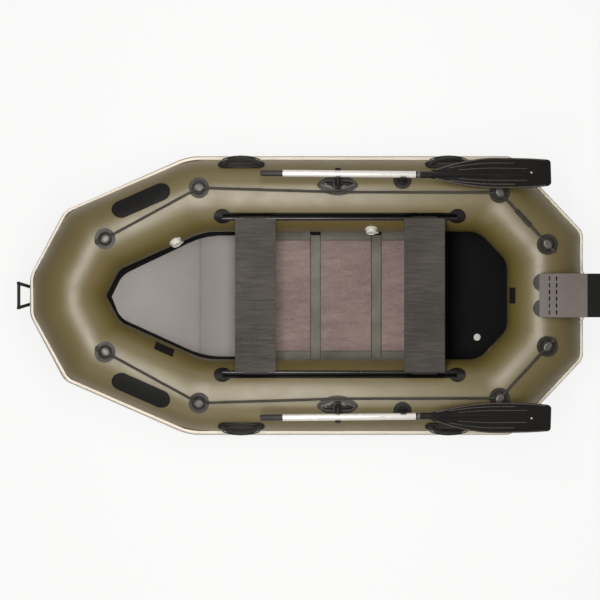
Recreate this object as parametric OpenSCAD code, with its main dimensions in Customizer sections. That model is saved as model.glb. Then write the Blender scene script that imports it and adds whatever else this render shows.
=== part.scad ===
// Inflatable rowing boat, two chambers, two sliding seats and two oars.
// +X is the bow, +Z is up, +Y is port. The origin is on the floor under the middle of the boat.

/* [Hull] */
// Length over the rub strip
hull_length = 2700; // [2500:10:3000]
// Beam over the rub strip
hull_beam = 1370; // [1250:10:1500]
// Outside diameter of the inflated tube
tube_d = 360; // [320:5:380]
// Width of the blunt middle panel at the nose, along the tube's axis
nose_w = 100; // [90:1:140]
// How far the shoulders of the bow lie behind the nose
nose_depth = 110; // [90:1:140]
// Distance between the two shoulders of the bow
shoulder_w = 534; // [480:2:580]
// Length of the slanting bow quarters, along X
bow_quarter = 500; // [440:5:560]
// Length of the slanting stern quarters, along X
stern_quarter = 242; // [220:2:270]
// Width of the straight stern, along the tube's axis
stern_w = 474; // [430:2:500]
// Rise of the bow's shoulders above the flat bottom
shoulder_rise = 75; // [50:1:100]
// Rise of the nose above the flat bottom
nose_rise = 110; // [80:1:130]
// Where the two chambers meet, along X
bulkhead_x = -150; // [-200:5:-120]
// Thickness of the bottom sheet
bottom_t = 4; // [3:0.5:6]
// Height of the bottom sheet over the floor
bottom_z = 30; // [20:1:50]
// How far the rub strip stands off the tube
strip_t = 11; // [8:0.5:14]
// Height of the rub strip round the tube, in degrees
strip_arc = 17; // [12:1:22]

/* [Floor] */
// Thickness of the fabric floor mat
mat_t = 2; // [1:0.5:3]
// Width of the floor mat across the boat
mat_w = 650; // [620:5:700]
// Thickness of the floor boards
board_t = 9; // [6:0.5:12]
// Width of the floor boards across the boat
board_w = 550; // [520:5:580]
// Front edge of the first floor board, along X
board_front_x = 330; // [300:5:360]
// Lengths of the three floor boards, from the bow
board_lengths = [340, 250, 260]; // [200:10:360]
// Bare strip of mat between two boards
board_gap = 54; // [30:1:60]

/* [Seats] */
// Length of a seat board across the boat
seat_span = 740; // [700:5:780]
// Width of a seat board along the boat
seat_w = 195; // [170:5:230]
// Thickness of a seat board
seat_t = 18; // [12:1:24]
// Middle of the front seat, along X
seat_front_x = 255; // [240:5:280]
// Middle of the rear seat, along X
seat_rear_x = -560; // [-575:5:-530]
// Diameter of the round bead on a seat rail
rail_bead_d = 16; // [12:1:20]
// Width of a seat rail's foot on the tube
rail_foot_w = 44; // [36:1:56]
// Half the distance between the two rails' middles
rail_y = 382; // [370:1:394]
// Front end of the rails, along X
rail_front_x = 415; // [400:5:430]
// Rear end of the rails, along X
rail_rear_x = -720; // [-740:5:-700]
// Diameter of the round pad at each rail end
rail_pad_d = 84; // [70:1:96]

/* [Oars] */
// Diameter of the oar shaft
shaft_d = 33; // [28:1:38]
// Length of the oar from its bolt to the end of the grip
grip_reach = 371; // [340:1:400]
// Length of the rubber grip
grip_len = 107; // [90:1:130]
// Distance from the bolt to the start of the blade
blade_start = 439; // [420:1:460]
// Length of the blade
blade_len = 585; // [540:5:620]
// Greatest width of the blade
blade_w = 152; // [130:2:170]
// Thickness of the blade
blade_t = 7; // [5:0.5:10]
// Wall of the metal shaft
shaft_wall = 2; // [1.5:0.1:3]
// Diameter of the cross bolt
bolt_d = 12; // [10:1:14]
// Middle of the oarlocks, along X
lock_x = -141; // [-150:1:-130]
// How far an oarlock leans outboard on the tube, in degrees
lock_roll = 12; // [8:1:16]
// Height of the cross bolt over the tube
lock_h = 80; // [74:1:90]
// Distance of the oar's axis outboard of the oarlock's post
oar_offset = 34; // [32:0.5:38]
// How far the stowed oar slopes down to its blade, in degrees
stow_slope = 2; // [1:0.1:2.4]
// Middle of the stowing clips, along X
clip_x = -454; // [-470:1:-440]

/* [Fittings] */
// Thickness of the rubber pads glued to the tube
pad_t = 3; // [2:0.5:4]
// Diameter of the grab-line eyes' pads
eye_pad_d = 100; // [90:2:110]
// Diameter of the grab-line eyes' raised caps
eye_cap_d = 60; // [52:1:66]
// Height of the grab-line eyes' raised caps over the tube
eye_cap_h = 20; // [18:1:24]
// Diameter of the grab line
rope_d = 9; // [7:0.5:10]
// Length of a carry handle's base
handle_len = 228; // [200:2:240]
// Width of a carry handle's base
handle_w = 62; // [54:1:70]
// Free height under a carry handle's loop
handle_gap = 30; // [28:1:36]
// Width of the motor mount's plate across the boat
motor_w = 210; // [190:2:230]
// Length of the motor mount's plate
motor_len = 230; // [210:2:240]
// Thickness of the motor mount's plate
motor_plate_t = 6; // [4:0.5:8]
// Height of the upright motor board
motor_board_h = 210; // [180:5:240]
// Thickness of the upright motor board
motor_board_t = 36; // [30:1:45]
// Width of the tow handle
tow_w = 135; // [120:1:150]
// How far the tow handle reaches ahead of the rub strip
tow_reach = 74; // [60:1:90]
// Thickness of the tow handle's bar
tow_bar_d = 16; // [12:1:20]

/* [Hidden] */
$fn = 64;

// Clearances
glue_gap = 0.3;   // between a glued piece and the round tube
fit_gap = 0.5;    // between a seated piece and its seat
slide_gap = 0.4;  // between a seat's clip and its rail
pin_gap = 0.08;   // radial, a pin in its hole
knuckle = 0.8;    // how much fatter a round bar is at its bends
strip_lap = 0.5;  // at the mitres of the rub strip
seam_gap = 0.2;   // between the straight panels of a chamber and the straight stretches of a line
far = 4000;       // larger than any cut needs

tube_r = tube_d / 2;
axis_tip = hull_length / 2 - strip_t - tube_r;
axis_side = hull_beam / 2 - strip_t - tube_r;

// Corners of the tube's axis, port side, from the nose to the stern
NOSE = [axis_tip, nose_w / 2, tube_r + nose_rise];
SHOULDER = [axis_tip - nose_depth, shoulder_w / 2, tube_r + shoulder_rise];
QUARTER = [SHOULDER[0] - bow_quarter, axis_side, tube_r];
STERN_QUARTER = [stern_quarter - axis_tip, axis_side, tube_r];
STERN = [-axis_tip, stern_w / 2, tube_r];
PORT = [NOSE, SHOULDER, QUARTER, STERN_QUARTER, STERN];
MIDSHIP = [bulkhead_x, axis_side, tube_r];
SIDE = [QUARTER, STERN_QUARTER];

function mirrored(p) = [p[0], -p[1], p[2]];
function unit(v) = v / norm(v);
function heading(d) = [0, -asin(d[2] / norm(d)), atan2(d[1], d[0])];
function reversed(list) = [for (i = [len(list) - 1:-1:0]) list[i]];

// The closed axis of the whole tube, and the open axes of its two chambers
RING = concat(PORT, [for (p = reversed(PORT)) mirrored(p)]);
BOW_RUN = concat([MIDSHIP, QUARTER, SHOULDER, NOSE],
                 [for (p = [NOSE, SHOULDER, QUARTER, MIDSHIP]) mirrored(p)]);
STERN_RUN = concat([MIDSHIP, STERN_QUARTER, STERN],
                   [for (p = [STERN, STERN_QUARTER, MIDSHIP]) mirrored(p)]);

// Keeps what lies ahead of the plane through p with normal n, and a little behind it
module ahead_of(p, n, behind) {
    translate(p) rotate(heading(n)) translate([-behind, -far / 2, -far / 2]) cube([far, far, far]);
}

// Round bars along straight runs, each reaching past its ends: they cut what meets the tube
module run_bars(points, r, closed = false, over = 60) {
    count = len(points);
    for (i = [0:closed ? count - 1 : count - 2]) {
        from = points[i];
        to = points[(i + 1) % count];
        translate(from) rotate(heading(to - from)) translate([-over, 0, 0]) rotate([0, 90, 0])
            cylinder(r = r, h = norm(to - from) + 2 * over, $fn = 128);
    }
}

// Sweeps a section along straight runs that meet on mitre planes, or overlap there by twice
// the lap, or stand apart by as much where it is negative. Going aft on the port side and forward on the starboard side, the section's x is
// inboard and its y is up.
module mitred_run(points, closed = false, lap = 0, over = 200) {
    count = len(points);
    for (i = [0:closed ? count - 1 : count - 2]) {
        from = points[i];
        to = points[(i + 1) % count];
        d = unit(to - from);
        run = norm(to - from);
        before = closed || i > 0 ? unit(from - points[(i + count - 1) % count]) : d;
        after = closed || i < count - 2 ? unit(points[(i + 2) % count] - to) : d;
        intersection() {
            translate(from) rotate(heading(d)) translate([-over, 0, 0])
                rotate([90, 0, 90]) linear_extrude(run + 2 * over) children();
            ahead_of(from, d + before, closed || i > 0 ? lap : 0);
            ahead_of(to, -d - after, closed || i < count - 2 ? lap : 0);
        }
    }
}

// Places a piece on the port tube: run number, distance along it from its forward end, and
// roll outboard in degrees. There +X points aft along the run, +Y inboard and +Z off the tube.
module on_tube(run, along, roll) {
    d = PORT[run + 1] - PORT[run];
    translate(PORT[run]) rotate(heading(d)) translate([along, 0, 0]) rotate([roll, 0, 0])
        translate([0, 0, tube_r]) children();
}

// The same place as a point, lift above the tube
function run_of(i) = [PORT[i], PORT[i + 1]];

function on_tube_at(run, along, roll, lift) =
    let (d = unit(PORT[run + 1] - PORT[run]),
         side = unit(cross([0, 0, 1], d)),
         up = cross(d, side))
    PORT[run] + d * along + (up * cos(roll) - side * sin(roll)) * (tube_r + lift);

// Puts a piece of the side run at a place given along X
module on_side(x, roll) {
    on_tube(2, QUARTER[0] - x, roll) children();
}

// A port piece, or its twin on the starboard side
module on(side) {
    if (side == "port") children();
    else mirror([0, 1, 0]) children();
}

// A pad of even thickness that follows straight runs inside an outline drawn at a place on them
module tube_pad(points, thick) {
    intersection() {
        difference() {
            run_bars(points, tube_r + glue_gap + thick);
            run_bars(points, tube_r + glue_gap);
        }
        children();
    }
}

// Prism for a pad's outline, standing through the tube's wall
module outline(deep = 60) {
    translate([0, 0, -deep]) linear_extrude(2 * deep) children();
}

module stadium(length, width) {
    square([length - width, width], center = true);
    for (s = [-1, 1]) translate([s * (length - width) / 2, 0]) circle(d = width);
}

// Pointed oval with softened ends
module oval(length, width) {
    bow = (length * length + width * width) / (4 * width);
    intersection() {
        translate([0, bow - width / 2]) circle(bow, $fn = 128);
        translate([0, width / 2 - bow]) circle(bow, $fn = 128);
        circle(d = length * 0.96);
    }
}

// ---- Hull ----

module bow_tube() {
    color("#7d7345") mitred_run(BOW_RUN, lap = -seam_gap / 2) circle(tube_r, $fn = 128);
}

module stern_tube() {
    color("#7d7345") mitred_run(STERN_RUN, lap = -seam_gap / 2) circle(tube_r, $fn = 128);
}

// The bottom sheet rises ahead of the quarters with the bow
module hull_bottom() {
    slope = shoulder_rise / bow_quarter;
    tip_rise = slope * (axis_tip - QUARTER[0]);
    side_view = [
        [-axis_tip, bottom_z], [QUARTER[0], bottom_z], [axis_tip, bottom_z + tip_rise],
        [axis_tip, bottom_z + tip_rise + bottom_t], [QUARTER[0], bottom_z + bottom_t],
        [-axis_tip, bottom_z + bottom_t]
    ];
    color("#8d8983") difference() {
        intersection() {
            translate([0, axis_side, 0]) rotate([90, 0, 0])
                linear_extrude(2 * axis_side) polygon(side_view);
            linear_extrude(tube_d) polygon([for (p = RING) [p[0], p[1]]]);
        }
        run_bars(RING, tube_r + glue_gap, closed = true);
    }
}

// Sector of the section outboard of the tube, between two angles over the horizontal
module sector(low, high) {
    polygon([[0, 0], for (a = [low, high]) [-far * cos(a), far * sin(a)]]);
}

module strip_layer(thick, low, high) {
    intersection() {
        circle(tube_r + thick, $fn = 128);
        sector(low, high);
    }
}

module rub_strip() {
    low = -2;
    lip = strip_arc * 0.36;
    color("#efe9dc") mitred_run(RING, closed = true, lap = strip_lap) difference() {
        union() {
            strip_layer(strip_t / 2, low, low + strip_arc);
            strip_layer(strip_t, low, low + lip);
            strip_layer(strip_t, low + strip_arc - lip, low + strip_arc);
        }
        circle(tube_r + glue_gap, $fn = 128);
    }
}

// ---- Floor ----

mat_z = bottom_z + bottom_t;
board_z = mat_z + mat_t;
hem_w = (mat_w - board_w) / 2 - 4;

function board_start(i) =
    i == 0 ? board_front_x : board_start(i - 1) - board_lengths[i - 1] - board_gap;

module floor_board(i) {
    length = board_lengths[i];
    color("#8a7775") translate([board_start(i) - length, -board_w / 2, board_z])
        cube([length, board_w, board_t]);
}

module floor_board_front() { floor_board(0); }
module floor_board_middle() { floor_board(1); }
module floor_board_rear() { floor_board(2); }

// The mat under the boards, with a hem over each end of every board
module floor_mat() {
    rear = board_start(2) - board_lengths[2];
    color("#857a4c") union() {
        translate([rear, -mat_w / 2, mat_z]) cube([board_front_x - rear, mat_w, mat_t]);
        for (i = [0:2]) {
            for (y = [-mat_w / 2, mat_w / 2 - hem_w]) {
                translate([board_start(i) - board_lengths[i], y, mat_z])
                    cube([board_lengths[i], hem_w, mat_t + board_t]);
            }
        }
    }
}

// ---- Seats ----

rail_roll = asin((axis_side - rail_y) / tube_r);
rail_neck_w = 6;
rail_neck_h = 5;
bead_lift = pad_t + rail_neck_h + rail_bead_d / 2;
bead_y = axis_side - (tube_r + bead_lift) * sin(rail_roll);
bead_z = tube_r + (tube_r + bead_lift) * cos(rail_roll);
clip_wall = 4;
clip_len = 120;
clip_out_r = rail_bead_d / 2 + slide_gap + clip_wall;
seat_z = bead_z + clip_out_r + 1;

// Extrudes a section of the port side tube from x = from back to x = to
module side_section(from, to) {
    translate([from, axis_side, tube_r]) rotate([0, 0, 180]) rotate([90, 0, 90])
        linear_extrude(from - to) children();
}

module seat_rail() {
    color("#2c2d30") union() {
        side_section(rail_front_x, rail_rear_x) difference() {
            rotate(-rail_roll) translate([0, tube_r]) {
                translate([-rail_foot_w / 2, -2]) square([rail_foot_w, pad_t + 2]);
                translate([-rail_neck_w / 2, 0]) square([rail_neck_w, bead_lift]);
                translate([0, bead_lift]) circle(d = rail_bead_d);
            }
            circle(tube_r + glue_gap, $fn = 128);
        }
        for (x = [rail_front_x, rail_rear_x]) {
            intersection() {
                side_section(x + rail_pad_d, x - rail_pad_d) difference() {
                    circle(tube_r + glue_gap + pad_t, $fn = 128);
                    circle(tube_r + glue_gap, $fn = 128);
                }
                on_side(x, -rail_roll) outline() circle(d = rail_pad_d);
            }
        }
    }
}

module seat_rail_port() { seat_rail(); }
module seat_rail_starboard() { on("starboard") seat_rail(); }

module seat_board(x) {
    color("#57545a") translate([x - seat_w / 2, -seat_span / 2, seat_z])
        cube([seat_w, seat_span, seat_t]);
}

// A hook round the rail's bead under each end of a seat, open towards the tube
module seat_clip(x) {
    inner = bead_y - 3 * clip_out_r;
    translate([x + clip_len / 2, 0, 0]) rotate([0, 0, 180]) rotate([90, 0, 90])
        linear_extrude(clip_len) translate([-axis_side, 0]) mirror([1, 0]) difference() {
            union() {
                translate([bead_y - axis_side, bead_z]) circle(clip_out_r);
                translate([inner - axis_side, bead_z + clip_out_r / 2])
                    square([bead_y - inner, seat_z - bead_z - clip_out_r / 2]);
            }
            translate([bead_y - axis_side, bead_z]) {
                circle(rail_bead_d / 2 + slide_gap);
                rotate(rail_roll) translate([-rail_neck_w / 2 - 1.5, -2 * clip_out_r])
                    square([rail_neck_w + 3, 2 * clip_out_r]);
            }
        }
}

module seat_clips(x) {
    color("#232427") for (side = ["port", "starboard"]) on(side) seat_clip(x);
}

module seat_front_board() { seat_board(seat_front_x); }
module seat_front_clips() { seat_clips(seat_front_x); }
module seat_rear_board() { seat_board(seat_rear_x); }
module seat_rear_clips() { seat_clips(seat_rear_x); }

// ---- Oarlocks and oars ----

post_d = 18;       // stud that the swivel turns on
swivel_d = 32;
pedestal_h = 26;
head_d = 30;       // boss round the cross bolt
head_in = 14;      // inboard face of the boss, from the post's axis
head_out = 14;     // outboard face of the boss
bolt_head_t = 6;
knob_t = 12;
neck_d = shaft_d + 1;
neck_start = blade_start - 66;
spigot_len = 60;

// Pedestal, two wings that brace it along the tube, and the stud
module oarlock_post() {
    difference() {
        union() {
            translate([0, 0, -6]) cylinder(d = swivel_d + 14, h = pedestal_h + 6);
            for (turn = [0, 180]) rotate([0, 0, turn]) rotate([90, 0, 0])
                translate([0, 0, -5]) linear_extrude(10)
                    polygon([[0, -6], [78, -6], [78, pad_t + 2], [20, pedestal_h], [0, pedestal_h]]);
        }
        translate([-far / 2, 0, -tube_r]) rotate([0, 90, 0])
            cylinder(r = tube_r + glue_gap + pad_t / 2, h = far, $fn = 128);
    }
    translate([0, 0, pedestal_h - 4])
        cylinder(d = post_d, h = lock_h - head_d / 2 - 6 - pedestal_h);
}

module oarlock_base() {
    color("#3c3b3a") union() {
        tube_pad(SIDE, pad_t) on_side(lock_x, lock_roll) outline() oval(206, 100);
        on_side(lock_x, lock_roll) oarlock_post();
    }
}

// Sleeve that turns on the stud, with the boss that carries the cross bolt
module oarlock_swivel() {
    sleeve_z = pedestal_h + fit_gap;
    color("#26272a") on_side(lock_x, lock_roll) difference() {
        union() {
            translate([0, 0, sleeve_z]) cylinder(d = swivel_d, h = lock_h - head_d / 2 + 2 - sleeve_z);
            translate([0, head_in, lock_h]) rotate([90, 0, 0])
                cylinder(d = head_d, h = head_in + head_out);
        }
        translate([0, 0, sleeve_z - 1]) cylinder(d = post_d + 2 * pin_gap, h = lock_h - sleeve_z - head_d / 2 - 3);
        translate([0, head_in + 1, lock_h]) rotate([90, 0, 0])
            cylinder(d = bolt_d + 2 * pin_gap, h = head_in + head_out + 2);
    }
}

// Places a piece of the port oar: +X runs to the blade's tip, +Y is inboard
module on_oar() {
    on_side(lock_x, lock_roll) translate([0, -oar_offset, lock_h]) rotate([0, stow_slope, 0]) children();
}

// Round bar along the oar
module oar_rod(d, from, to) {
    translate([from, 0, 0]) rotate([0, 90, 0]) cylinder(d = d, h = to - from);
}

module oar_shaft() {
    color("#e4e4e2") on_oar() difference() {
        oar_rod(shaft_d, grip_len - grip_reach, neck_start);
        oar_rod(shaft_d - 2 * shaft_wall, grip_len - grip_reach - 1, neck_start + 1);
        translate([0, shaft_d, 0]) rotate([90, 0, 0]) cylinder(d = bolt_d + 2 * pin_gap, h = 2 * shaft_d);
    }
}

module oar_grip() {
    grip_d = shaft_d - 3;
    plug_d = shaft_d - 2 * shaft_wall - 2 * pin_gap;
    color("#3a3638") on_oar() {
        translate([-grip_reach, 0, 0]) rotate([0, 90, 0]) rotate_extrude() {
            polygon([[0, 0], [grip_d / 2 - 5, 0], [grip_d / 2, 5], [grip_d / 2, grip_len],
                     [0, grip_len]]);
        }
        oar_rod(plug_d, grip_len - grip_reach - 1, grip_len - grip_reach + spigot_len);
    }
}

// Half width of the blade at a share t of its length, on its outboard and inboard edges
function outboard_edge(t) = neck_d / 2 + (blade_w * 0.57 - neck_d / 2) * sin(90 * min(1, t / 0.56)) - 8 * pow(t, 8);
function inboard_edge(t) = neck_d / 2 + (blade_w * 0.43 - neck_d / 2) * sin(90 * min(1, t / 0.56)) - 18 * pow(t, 6);

module blade_outline() {
    steps = 16;
    corner = 14;
    shares = [for (i = [0:steps]) i / steps * (1 - corner / blade_len)];
    out_end = outboard_edge(1) - corner;
    in_end = inboard_edge(1) - corner;
    polygon(concat(
        [for (t = shares) [t * blade_len, -outboard_edge(t)]],
        [for (a = [-60:30:0]) [blade_len - corner + corner * cos(a), -out_end + corner * sin(a)]],
        [for (a = [0:30:60]) [blade_len - corner + corner * cos(a), in_end + corner * sin(a)]],
        [for (i = [steps:-1:0]) [shares[i] * blade_len, inboard_edge(shares[i])]]
    ));
}

module oar_blade() {
    rib_d = 19;
    hole_at = [blade_start + blade_len * 0.84, -15];
    color("#1d1b1c") on_oar() difference() {
        union() {
            translate([blade_start, 0, -blade_t / 2]) linear_extrude(blade_t) blade_outline();
            oar_rod(neck_d, neck_start + fit_gap, blade_start + 12);
            oar_rod(shaft_d - 2 * shaft_wall - 2 * pin_gap, neck_start - spigot_len, neck_start + 1);
            translate([blade_start, 0, 0]) rotate([0, 90, 0])
                cylinder(d1 = neck_d, d2 = rib_d, h = blade_len * 0.2);
            translate([blade_start + blade_len * 0.2, 0, 0]) rotate([0, 90, 0])
                cylinder(d1 = rib_d, d2 = blade_t, h = blade_len * 0.62);
        }
        translate([hole_at[0], hole_at[1], -blade_t]) cylinder(d = 8, h = 2 * blade_t);
    }
}

// Cross bolt through the boss and the shaft, with a round knob outboard
module oar_bolt() {
    outer = oar_offset + shaft_d / 2 + fit_gap;
    color("#1c1c1e") on_side(lock_x, lock_roll) translate([0, 0, lock_h]) {
        translate([0, head_in + fit_gap, 0]) rotate([90, 0, 0])
            cylinder(d = bolt_d, h = head_in + outer + fit_gap + knob_t / 2);
        translate([0, head_in + fit_gap + bolt_head_t, 0]) rotate([90, 0, 0])
            cylinder(d = bolt_d + 10, h = bolt_head_t);
        translate([0, -outer, 0]) rotate([90, 0, 0])
            rotate_extrude() polygon([[0, 0], [12, 0], [14, 3], [14, 9], [10, knob_t], [0, knob_t]]);
    }
}

// Cradle on a stem, open outboard and upwards so that the shaft lifts or swings out
module oar_clip() {
    reach = lock_x - clip_x;
    drop = reach * tan(stow_slope);
    up = lock_h - drop;
    shaft_side = (tube_r + up) * sin(lock_roll) + oar_offset * cos(lock_roll);
    shaft_up = (tube_r + up) * cos(lock_roll) - oar_offset * sin(lock_roll);
    roll = atan2(shaft_side, shaft_up);
    shaft_lift = norm([shaft_side, shaft_up]) - tube_r;
    seat_r = shaft_d / 2 + 1.5;
    wall = 5;
    clip_w = 28;
    stem_w = 14;
    color("#232426") union() {
        tube_pad(SIDE, pad_t) on_side(clip_x, roll) outline() circle(d = 88);
        on_side(clip_x, roll) rotate([90, 0, 90]) translate([0, 0, -clip_w / 2])
            linear_extrude(clip_w) difference() {
                union() {
                    translate([-stem_w / 2, 0]) square([stem_w, shaft_lift - seat_r - wall / 2]);
                    translate([0, shaft_lift]) rotate(lock_roll - roll) {
                        translate([-seat_r * 0.7, -seat_r - wall]) square([seat_r * 1.7, wall]);
                        translate([seat_r, -seat_r - wall]) square([wall, 2 * seat_r + wall]);
                    }
                }
                translate([0, -tube_r]) circle(tube_r + glue_gap + pad_t / 2, $fn = 128);
            }
        on_side(clip_x, roll) difference() {
            translate([0, 0, -6]) cylinder(d1 = 60, d2 = 34, h = 24);
            translate([-far / 2, 0, -tube_r]) rotate([0, 90, 0])
                cylinder(r = tube_r + glue_gap + pad_t / 2, h = far, $fn = 128);
        }
    }
}

module oarlock_base_port() { oarlock_base(); }
module oarlock_base_starboard() { on("starboard") oarlock_base(); }
module oarlock_swivel_port() { oarlock_swivel(); }
module oarlock_swivel_starboard() { on("starboard") oarlock_swivel(); }
module oar_shaft_port() { oar_shaft(); }
module oar_shaft_starboard() { on("starboard") oar_shaft(); }
module oar_grip_port() { oar_grip(); }
module oar_grip_starboard() { on("starboard") oar_grip(); }
module oar_blade_port() { oar_blade(); }
module oar_blade_starboard() { on("starboard") oar_blade(); }
module oar_bolt_port() { oar_bolt(); }
module oar_bolt_starboard() { on("starboard") oar_bolt(); }
module oar_clip_port() { oar_clip(); }
module oar_clip_starboard() { on("starboard") oar_clip(); }

// ---- Grab lines ----

rope_lift = pad_t + 3 + rope_d / 2;
side_run = QUARTER[0] - STERN_QUARTER[0];
stern_run = norm(STERN - STERN_QUARTER);

// Places of the eyes on the port tube: run, distance along it and roll
EYES = [[1, 48, -9], [2, 22, 7.5], [3, 2, 1], [3, stern_run - 12, 0]];
// How far a line runs on past its first and last eye to its knots
tail = 40;

function at(place, lift) = on_tube_at(place[0], place[1], place[2], lift);

// The line from knot to knot, passing inboard of the oarlock
ROPE = [
    at(EYES[0] - [0, tail, 0], rope_lift),
    at(EYES[0], rope_lift),
    at(EYES[1], rope_lift),
    at([2, QUARTER[0] - lock_x, lock_roll - 11], rope_lift),
    at(EYES[2], rope_lift),
    at(EYES[3], rope_lift),
    at(EYES[3] + [0, tail, 0], rope_lift)
];

module bar(from, to, d) {
    translate(from) rotate(heading(to - from)) rotate([0, 90, 0]) cylinder(d = d, h = norm(to - from));
}

module bars(points, d) {
    for (i = [0:len(points) - 2]) bar(points[i], points[i + 1], d);
    for (p = points) translate(p) sphere(d = d + knuckle);
}

module rope_eyes() {
    tunnel_d = rope_d + 1.6;
    color("#5b5856") for (eye = EYES) {
        difference() {
            on_tube(eye[0], eye[1], eye[2]) {
                translate([0, 0, -12]) cylinder(d = eye_pad_d, h = 12 + pad_t);
                cylinder(d = eye_cap_d, h = eye_cap_h - 8);
                translate([0, 0, eye_cap_h - 8]) cylinder(d1 = eye_cap_d, d2 = eye_cap_d - 20, h = 8);
            }
            for (i = [0:len(PORT) - 2]) run_bars(run_of(i), tube_r + glue_gap);
            run_bars([STERN, mirrored(STERN)], tube_r + glue_gap);
            for (i = [0:len(ROPE) - 2]) {
                past = unit(ROPE[i + 1] - ROPE[i]) * rope_d * 0.65;
                bar(ROPE[i] - past, ROPE[i + 1] + past, tunnel_d);
            }
        }
    }
}

module grab_line() {
    knot_d = rope_d * 2;
    color("#2b2826") union() {
        mitred_run(ROPE, lap = -seam_gap / 2) circle(d = rope_d, $fn = 64);
        for (p = [ROPE[0], ROPE[len(ROPE) - 1]]) translate(p + [0, 0, knot_d / 6]) sphere(d = knot_d);
    }
}

// ---- Handles ----

// Circular arch standing on a chord
module arch(chord, rise) {
    arch_r = (chord * chord / 4 + rise * rise) / (2 * rise);
    intersection() {
        translate([0, rise - arch_r]) circle(arch_r, $fn = 128);
        translate([-chord, 0]) square([2 * chord, rise + 1]);
    }
}

module carry_handle(x, roll) {
    bar_t = 10;
    bar_w = 26;
    chord = handle_len - 32;
    color("#242426") union() {
        tube_pad(SIDE, pad_t) on_side(x, roll) outline() stadium(handle_len, handle_w);
        on_side(x, roll) translate([0, bar_w / 2, 1]) rotate([90, 0, 0]) linear_extrude(bar_w)
            difference() {
                arch(chord, handle_gap + pad_t + bar_t);
                translate([0, -1]) arch(chord - 30, handle_gap + pad_t);
            }
    }
}

handle_roll = 52;
handle_front_x = 325;
handle_rear_x = -680;
module carry_handle_front_port() { carry_handle(handle_front_x, handle_roll); }
module carry_handle_front_starboard() { on("starboard") carry_handle(handle_front_x, handle_roll); }
module carry_handle_rear_port() { carry_handle(handle_rear_x, handle_roll); }
module carry_handle_rear_starboard() { on("starboard") carry_handle(handle_rear_x, handle_roll); }

// Places a piece on the middle of the nose, at an angle over the horizontal
tow_angle = -22;
tow_z = NOSE[2] + tube_r * sin(tow_angle);
tow_inner_x = axis_tip + tube_r * cos(tow_angle) + 16;
tow_outer_x = hull_length / 2 + tow_reach - tow_bar_d / 2;
tow_inner_w = tow_w * 0.55;

module on_nose(angle) {
    translate([axis_tip, 0, NOSE[2]]) rotate([0, 90 - angle, 0]) translate([0, 0, tube_r]) children();
}

module tow_handle() {
    half = (tow_w - tow_bar_d) / 2;
    corners = [
        [tow_inner_x, tow_inner_w / 2, tow_z], [tow_outer_x, half, tow_z],
        [tow_outer_x, -half, tow_z], [tow_inner_x, -tow_inner_w / 2, tow_z]
    ];
    corner_d = tow_bar_d + 2;
    color("#262729") union() {
        for (i = [0:3]) bar(corners[i], corners[(i + 1) % 4], tow_bar_d);
        for (p = corners) translate(p) cylinder(d = corner_d, h = corner_d - 1, center = true);
    }
}

// Pad under the nose with the lug that holds the tow handle
module tow_patch() {
    lug_w = tow_inner_w - tow_bar_d - 4;
    color("#333335") difference() {
        union() {
            tube_pad([NOSE, mirrored(NOSE)], pad_t)
                on_nose(tow_angle) outline() rotate(90) stadium(nose_w + 20, 76);
            on_nose(tow_angle) translate([-13, -lug_w / 2, 1]) cube([26, lug_w, 29]);
        }
        bar([tow_inner_x, -tow_w, tow_z], [tow_inner_x, tow_w, tow_z], tow_bar_d + 2 * glue_gap);
    }
}

// ---- Valves, plates and patches ----

valve_roll = -70;

module valve(run, along) {
    color("#e8e6e0") union() {
        tube_pad(run_of(run), pad_t) on_tube(run, along, valve_roll) outline() circle(d = 62);
        on_tube(run, along, valve_roll) {
            translate([0, 0, 1]) cylinder(d = 48, h = 11);
            translate([0, 0, 11]) cylinder(d1 = 52, d2 = 44, h = 7);
        }
    }
}

module valve_bow() { on("starboard") valve(1, 360); }
module valve_stern() { on("starboard") valve(2, QUARTER[0] + 308); }

module side_patch() {
    color("#141414") tube_pad(run_of(1), 1.2) on_tube(1, 282, 24) outline() stadium(300, 96);
}

module blank_plates() {
    color("#161616") {
        tube_pad(run_of(1), 1.2) on_tube(1, 307, -58) outline() square([98, 62], center = true);
        tube_pad([STERN, mirrored(STERN)], 1.2)
            translate([-axis_tip, 0, tube_r]) rotate([0, 66, 0]) translate([0, 0, tube_r])
                outline() square([56, 78], center = true);
    }
}

// Plug in the bottom sheet by the stern
module drain_plug() {
    color("#9a9a98") translate([-845, 208, mat_z]) {
        cylinder(d = 34, h = 3);
        translate([0, 0, 3]) cylinder(d = 22, h = 5);
    }
}

// ---- Motor mount ----

motor_z = tube_d + 28;              // underside of the plate
motor_rail_y = 62;
motor_rail_d = 18;
motor_front_x = -axis_tip + 50;
board_rear_x = -hull_length / 2 - tow_reach;
board_front = board_rear_x + motor_board_t;
bracket_t = 16;
rail_z = motor_z - motor_rail_d / 2 - fit_gap;
foot_angle = -34;
foot_x = -axis_tip - tube_r * cos(foot_angle);
foot_z = tube_r + tube_r * sin(foot_angle);

// Places a piece on the stern, at an angle over the horizontal, off the centreline
module on_stern(angle, y) {
    translate([-axis_tip, y, tube_r]) rotate([0, angle - 90, 0]) translate([0, 0, tube_r]) children();
}

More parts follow.
